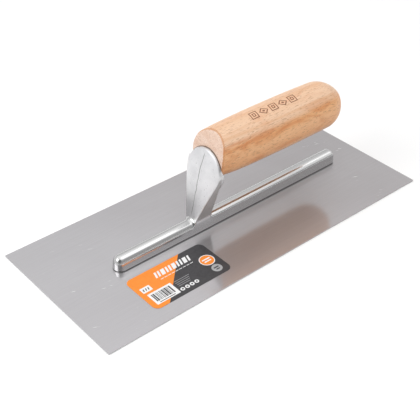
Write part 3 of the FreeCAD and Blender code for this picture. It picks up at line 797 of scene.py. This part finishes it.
def brushed_blade():
    """Rolled steel, brushed along the blade, a little mottled and with a few pale scratches."""
    f = Finish("brushed_blade_steel")
    lines = f.noise((40, 3600, 40), 5, 0.7)
    broad = f.noise((14, 700, 14), 3, 0.6, shift=(3, 1, 0))
    cloud = f.noise((11, 16, 11), 4, 0.6, 0.6)
    streak = f.calc("ADD", f.between(lines, 0.3, 0.7, -0.6, 0.6), f.between(broad, 0.3, 0.7, -0.4, 0.4))
    toe_side = f.mix(f.between(cloud, 0.3, 0.7), *STEEL_TOE)
    heel_side = f.mix(f.between(cloud, 0.3, 0.7), *STEEL_HEEL)
    base = f.mix(f.between(f.axis("X"), -0.12, 0.13), toe_side, heel_side)
    base = f.mix(f.between(streak, -0.9, 0.9, 0.0, 0.025), base, grey(0.40, 1.02))
    marks = f.noise((110, 1300, 110), 2, 0.5, turn=math.radians(24), shift=(11, 5, 2))
    sparse = f.noise((60, 60, 60), 2, 0.5, shift=(7, 2, 1))
    scratch = f.calc("MULTIPLY", f.between(marks, 0.66, 0.72), f.between(sparse, 0.57, 0.65))
    toe = f.between(f.axis("X"), -0.080, -0.110)
    heel = f.between(f.axis("X"), 0.094, 0.112)
    scratch = f.calc("MULTIPLY", scratch, f.calc("ADD", toe, heel))
    base = f.mix(f.calc("MULTIPLY", scratch, 0.8), base, grey(0.95))
    along = f.add("ShaderNodeCombineXYZ", {"X": 1.0}).outputs[0]
    normal = f.bump(streak, 0.000001, 0.3)
    satin = f.surface(Base_Color=base, Metallic=1.0, Roughness=0.5, Normal=normal)
    smooth = f.surface(
        Base_Color=base, Metallic=1.0, Roughness=f.between(lines, 0.25, 0.75, 0.10, 0.115),
        Anisotropic=0.3, Tangent=along, Normal=normal,
    )
    share = f.calc("SUBTRACT", f.between(streak, -0.9, 0.9, 0.43, 0.46), f.calc("MULTIPLY", scratch, 0.3))
    return f.done(f.add("ShaderNodeMixShader", {0: share, 1: satin, 2: smooth}).outputs[0])


def cast_mounting():
    """Cast aluminium: matt and finely pitted on the neck, with a parting line, and polished on the bar;
    painted shade darkens its foot and flanks, and a painted contact shadow runs along its base.
    """
    f = Finish("cast_and_polished_aluminium")
    grain = f.noise((1500, 1500, 1500), 3, 0.6)
    patch = f.noise((95, 95, 95), 4, 0.6, shift=(2, 0, 1))
    pits = f.between(f.noise((900, 900, 900), 1, 0.4, shift=(1, 4, 0)), 0.70, 0.77)
    cast = f.between(f.axis("Z"), *CAST_START)
    wobble = f.between(f.noise((110, 110, 110), 2), 0.3, 0.7, -0.0003, 0.0003)
    off_middle = f.calc("ABSOLUTE", f.calc("ADD", f.axis("Y"), wobble))
    in_front = f.between(f.axis("X"), -0.0135, -0.0150)
    line = f.calc("MULTIPLY", f.between(off_middle, 0.00040, 0.00014), in_front)
    line = f.calc("MULTIPLY", line, f.between(f.axis("Z"), *PARTING_START))
    dirt = f.calc("MAXIMUM", f.calc("MULTIPLY", pits, 0.6), f.calc("MULTIPLY", line, 0.75))
    normal = f.add("ShaderNodeNewGeometry").outputs["Normal"]
    facing = f.add("ShaderNodeSeparateXYZ", {0: normal}).outputs["Y"]
    flank = f.calc("MULTIPLY", f.between(f.calc("ABSOLUTE", facing), 0.72, 0.92), cast)
    base = f.mix(f.between(patch, 0.3, 0.7), *CAST_PALE)
    low = f.between(f.axis("Z"), *FOOT_SHADE)
    rubbed = f.calc("MAXIMUM", low, flank)
    base = f.mix(f.calc("MULTIPLY", low, 0.7), base, grey(0.52))
    # painted shade: the neck's flanks that face sideways turn a mottled dark grey
    wear_and_shade = f.mix(patch, grey(0.28, 1.02), grey(0.44, 1.02))
    base = f.mix(f.calc("MULTIPLY", flank, 0.8), base, wear_and_shade)
    base = f.mix(cast, grey(0.65), base)
    # painted contact shadow: near black along the base, where the casting meets the blade
    contact_shade = f.between(f.axis("Z"), *CONTACT_SHADE_FADE)
    base = f.mix(f.calc("MULTIPLY", contact_shade, 0.97), base, grey(0.03, 1.05))
    base = f.mix(f.calc("MULTIPLY", dirt, cast), base, grey(0.13, 1.05))
    drag = f.noise((30, 1500, 900), 3, 0.6)
    matt = f.calc("ADD", f.between(grain, 0.3, 0.7, 0.34, 0.46), f.between(patch, 0.3, 0.7, -0.03, 0.04))
    bright = f.between(drag, 0.25, 0.75, 0.17, 0.27)
    rough = f.blend(cast, bright, f.blend(rubbed, matt, 0.30))
    chalky = f.calc("SUBTRACT", cast, rubbed)
    height = f.calc("SUBTRACT", f.calc("MULTIPLY", grain, 0.4), dirt)
    depth = f.between(f.axis("Z"), *CAST_START, 0.03, 0.7)
    return f.done(
        Base_Color=base, Metallic=f.between(chalky, 0.0, 1.0, 1.0, 0.6), Roughness=rough,
        Normal=f.bump(height, 0.00012, depth),
    )


def beech_colour(f):
    """Beech grain along X with reddish figure and dark flecks, and painted shade on its flanks, along the
    crease, low down and underneath, as a colour and two heights for the bump.
    """
    band = f.noise((6, 150, 150), 4, 0.6, 0.5)
    fine = f.noise((45, 2200, 2200), 3, 0.6)
    figure = f.noise((22, 75, 75), 4, 0.6, 1.4, shift=(4, 2, 6))
    base = f.mix(f.between(band, 0.30, 0.70), *BEECH_BAND)
    # painted shade: the flanks below the crease turn a deeper orange
    flank = f.between(f.axis("Z"), *SIDE_SHADE, 0.0, 0.5)
    base = f.mix(flank, base, BEECH_SIDE_SHADE)
    patch = f.calc("MULTIPLY", f.between(figure, 0.46, 0.66), f.between(flank, 0.0, 0.5, 0.22, 0.66))
    base = f.mix(patch, base, BEECH_FIGURE)
    # painted shade: a ragged dark line along the side crease, fading out towards the rear
    off_crease = f.calc("ABSOLUTE", f.calc("SUBTRACT", f.axis("Z"), CREASE_LEVEL))
    crease = f.between(off_crease, 0.0036, 0.0008)
    crease = f.calc("MULTIPLY", crease, f.between(f.axis("X"), 0.062, 0.025))
    ragged = f.noise((35, 260, 260), 3, 0.6, 1.0)
    crease = f.calc("MULTIPLY", crease, f.between(ragged, 0.40, 0.58, 0.15, 0.62))
    base = f.mix(crease, base, BEECH_CREASE_SHADE)
    # painted shade, deepening on the lower side and darkest underneath
    base = f.mix(f.between(f.axis("Z"), *LOW_SHADE, 0.0, 0.24), base, BEECH_LOW_SHADE)
    base = f.mix(f.between(f.axis("Z"), *UNDER_SHADE, 0.0, 0.4), base, BEECH_UNDER_SHADE)
    base = f.mix(f.between(fine, 0.40, 0.75, 0.0, 0.28), base, BEECH_FINE)
    fleck = f.between(f.noise((330, 2200, 2200), 1, 0.3, shift=(5, 1, 3)), 0.60, 0.70, 0.0, 0.50)
    spot = f.between(f.noise((200, 1200, 1200), 1, 0.3, shift=(1, 7, 2)), 0.70, 0.76, 0.0, 0.62)
    fleck = f.calc("MAXIMUM", fleck, spot)
    return f.mix(fleck, base, BEECH_FLECK), fine, fleck


def varnished_beech(name="varnished_beech", shade_share=0.0):
    """Beech under a thin clear varnish; a given share of painted shade, used on the front face's rounded
    edge, deepens its colour.
    """
    f = Finish(name)
    base, fine, fleck = beech_colour(f)
    # painted shade, on the rounded edge of the front face
    base = f.mix(shade_share, base, BEECH_EDGE_SHADE)
    height = f.calc("SUBTRACT", f.calc("MULTIPLY", fine, 0.5), fleck)
    return f.done(
        Base_Color=base, Roughness=0.45, Normal=f.bump(height, 0.00006, 0.5), Coat_Weight=0.4,
        Coat_Roughness=0.42, Specular_IOR_Level=0.5,
    )


def end_grain_beech():
    """The same beech cut across: paler and pinker, with growth arcs, pores and a painted shadow line round
    the head.
    """
    f = Finish("end_grain_beech")
    arcs = f.noise((60, 110, 420), 3, 0.55, 0.4)
    pores = f.between(f.noise((1300, 1300, 1300), 2, 0.5), 0.54, 0.68, 0.0, 0.5)
    base = f.mix(f.between(arcs, 0.3, 0.7), *BEECH_ENDS)
    base = f.mix(pores, base, BEECH_PORE)
    # painted shadow: a thin dark line on the wood just round the metal head
    rise = f.calc("SUBTRACT", f.axis("Z"), CROWN_LEVEL * MM)
    reach = f.calc("SQRT", f.calc("ADD", f.calc("POWER", f.axis("Y"), 2.0), f.calc("POWER", rise, 2.0)))
    gap_shadow = f.between(reach, (CROWN_RADIUS + 0.7) * MM, (CROWN_RADIUS + 0.1) * MM, 0.0, 0.8)
    base = f.mix(gap_shadow, base, BEECH_GAP_SHADOW)
    return f.done(Base_Color=base, Roughness=0.6, Normal=f.bump(pores, -0.00005, 0.5))


def burnt_wood():
    """Scorched lines in the beech."""
    f = Finish("burnt_beech")
    char = f.between(f.noise((900, 900, 900), 3), 0.35, 0.65)
    base = f.mix(char, *BEECH_BURNT)
    return f.done(Base_Color=base, Roughness=0.55, Normal=f.bump(f.noise((2500, 2500, 2500)), 0.00004, 0.5))


def printed_film(name, colour, worn_share):
    """One ink of the glossy printed label, with patches where only a share of its brightness is left."""
    f = Finish(name)
    wear_and_shade = f.between(f.noise((500, 500, 500), 4, 0.6), 0.3, 0.7)
    rough = f.between(f.noise((60, 60, 60), 3), 0.3, 0.7, 0.30, 0.42)
    return f.done(
        Base_Color=f.mix(wear_and_shade, colour, dimmed(colour, worn_share)), Roughness=rough,
        Normal=f.bump(f.noise((140, 140, 140), 2), 0.00006, 0.3), Specular_IOR_Level=0.3,
    )


def plated(name, colour, low, high):
    """Bright plated or bare steel, mottled, with a roughness between low and high."""
    f = Finish(name)
    patch = f.noise((220, 220, 220), 4, 0.6)
    fine = f.noise((2600, 2600, 2600), 2)
    return f.done(
        Base_Color=f.mix(f.between(patch, 0.3, 0.7), colour, dimmed(colour, 0.8)), Metallic=1.0,
        Roughness=f.between(patch, 0.3, 0.7, low, high), Normal=f.bump(fine, 0.00002, 0.4),
    )


def pale_floor():
    """The plain pale ground under the trowel."""
    f = Finish("pale_floor")
    base = f.mix(f.between(f.noise((3, 3, 3), 2), 0.3, 0.7), grey(0.95), grey(0.97))
    return f.done(Base_Color=base, Roughness=0.9, Specular_IOR_Level=0.1)


def give(node, finish):
    """A CAD node's own surface in a new finish."""
    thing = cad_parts[node]
    thing.data.materials.clear()
    thing.data.materials.append(finish)


# ---------------------------------------------------------------- studio

FLOOR_RADIUS = 4.0
FLOOR_CORNERS = 64
FLOOR_GAP = 0.0002

# softboxes: name, place, target, size and power
SOFTBOXES = (
    ("overhead_softbox", (0.45, -0.25, 1.25), (0.0, 0.0, 0.0), (1.3, 1.0), 2.6),
    ("toe_softbox", (-1.05, 0.20, 0.70), (0.0, 0.0, 0.05), (0.9, 0.8), 6.5),
)

# directions in which the surroundings have their pale backdrop and their dim part
BACKDROP_TOWARD = (0.6, 0.8, 0.0)
DIM_TOWARD = (-0.62, -0.56, 0.55)

CAMERA_PLACE = (-0.34285, -0.39287, 0.39226)
CAMERA_AZIMUTH = math.radians(-40.30)
CAMERA_ELEVATION = math.radians(36.546)
CAMERA_ROLL = math.radians(-0.097)
CAMERA_LENS = 78.2
CAMERA_SENSOR = 36.0


def make_floor(finish):
    """A wide flat floor just under the blade."""
    mesh = bpy.data.meshes.new("floor")
    outline = [(x, y, 0.0) for x, y in disc(0.0, 0.0, FLOOR_RADIUS, FLOOR_CORNERS)]
    mesh.from_pydata(outline, [], [list(range(FLOOR_CORNERS))])
    mesh.materials.append(finish)
    floor = bpy.data.objects.new("floor", mesh)
    floor.location.z = -FLOOR_GAP
    bpy.context.scene.collection.objects.link(floor)


def make_light(name, place, target, size, energy):
    """A rectangular softbox at a place, turned to a target."""
    lamp = bpy.data.lights.new(name, "AREA")
    lamp.shape = "RECTANGLE"
    lamp.size, lamp.size_y = size
    lamp.energy = energy
    thing = bpy.data.objects.new(name, lamp)
    thing.location = place
    thing.rotation_euler = (Vector(target) - Vector(place)).to_track_quat("-Z", "Y").to_euler()
    bpy.context.scene.collection.objects.link(thing)


def make_world():
    """Soft surroundings: bright overhead, with a pale backdrop low on one side and a dim part opposite."""
    world = bpy.data.worlds.new("studio")
    bpy.context.scene.world = world
    n = Nodes(world)
    toward = n.add("ShaderNodeTexCoord").outputs["Generated"]
    height = n.add("ShaderNodeSeparateXYZ", {0: toward}).outputs["Z"]

    def alignment(direction):
        """How closely each direction lines up with the given one."""
        parts = {0: toward, 1: Vector(direction).normalized()}
        return n.add("ShaderNodeVectorMath", parts, operation="DOT_PRODUCT").outputs["Value"]

    low_glow = n.between(height, 0.45, 0.15, 0.0, 0.7)
    backdrop = n.calc("MULTIPLY", n.between(alignment(BACKDROP_TOWARD), -0.2, 0.6), low_glow)
    dome = n.calc("ADD", n.between(height, 0.30, 0.85, 0.52, 1.44), backdrop)
    dimming = n.between(alignment(DIM_TOWARD), 0.80, 0.97, 1.0, 0.22)
    strength = n.calc("MULTIPLY", dome, dimming)
    background = n.add("ShaderNodeBackground", {"Strength": strength})
    n.add("ShaderNodeOutputWorld", {"Surface": background.outputs[0]})


def make_camera():
    """The camera that sees the trowel from in front of its toe, from above."""
    level = math.cos(CAMERA_ELEVATION)
    back = Vector((math.sin(CAMERA_AZIMUTH) * level, -math.cos(CAMERA_AZIMUTH) * level,
                   math.sin(CAMERA_ELEVATION)))
    right = (-back).cross(Vector((0, 0, 1))).normalized()
    up = right.cross(-back)
    upright, tilt = math.cos(CAMERA_ROLL), math.sin(CAMERA_ROLL)
    right, up = right * upright + up * tilt, up * upright - right * tilt
    data = bpy.data.cameras.new("camera")
    data.sensor_width = CAMERA_SENSOR
    data.lens = CAMERA_LENS
    camera = bpy.data.objects.new("camera", data)
    turn = Matrix((right, up, back)).transposed().to_4x4()
    camera.matrix_world = Matrix.Translation(CAMERA_PLACE) @ turn
    bpy.context.scene.collection.objects.link(camera)
    bpy.context.scene.camera = camera


def main():
    """The whole scene: camera, lights, floor and every piece of the trowel."""
    make_camera()
    make_world()
    for softbox in SOFTBOXES:
        make_light(*softbox)
    bpy.context.scene.view_settings.view_transform = "Standard"
    make_floor(pale_floor())

    make_mounting(cast_mounting())
    # the front face's edge takes painted shade
    make_handle(varnished_beech(), end_grain_beech(), varnished_beech("beech_edge_painted_shade", 0.55))
    make_ornament(burnt_wood())
    make_label([
        printed_film("label_dark_ink", INK_DARK, 0.8),
        printed_film("label_orange_ink", INK_ORANGE, 0.93),
        printed_film("label_white_ink", INK_WHITE, 0.95),
        printed_film("label_grey_ink", INK_GREY, 0.9),
    ])
    give("blade", brushed_blade())
    give("tie_rod", plated("tie_rod_steel", ROD_STEEL, 0.20, 0.34))
    give("handle_washer", plated("washer_zinc", WASHER_ZINC, 0.26, 0.40))
    give("handle_nut", plated("nut_zinc", NUT_ZINC, 0.22, 0.36))
    for number in range(1, RIVET_COUNT + 1):
        give(f"rivet_{number}", plated(f"rivet_steel_{number}", RIVET_STEEL, 0.22, 0.36))


main()
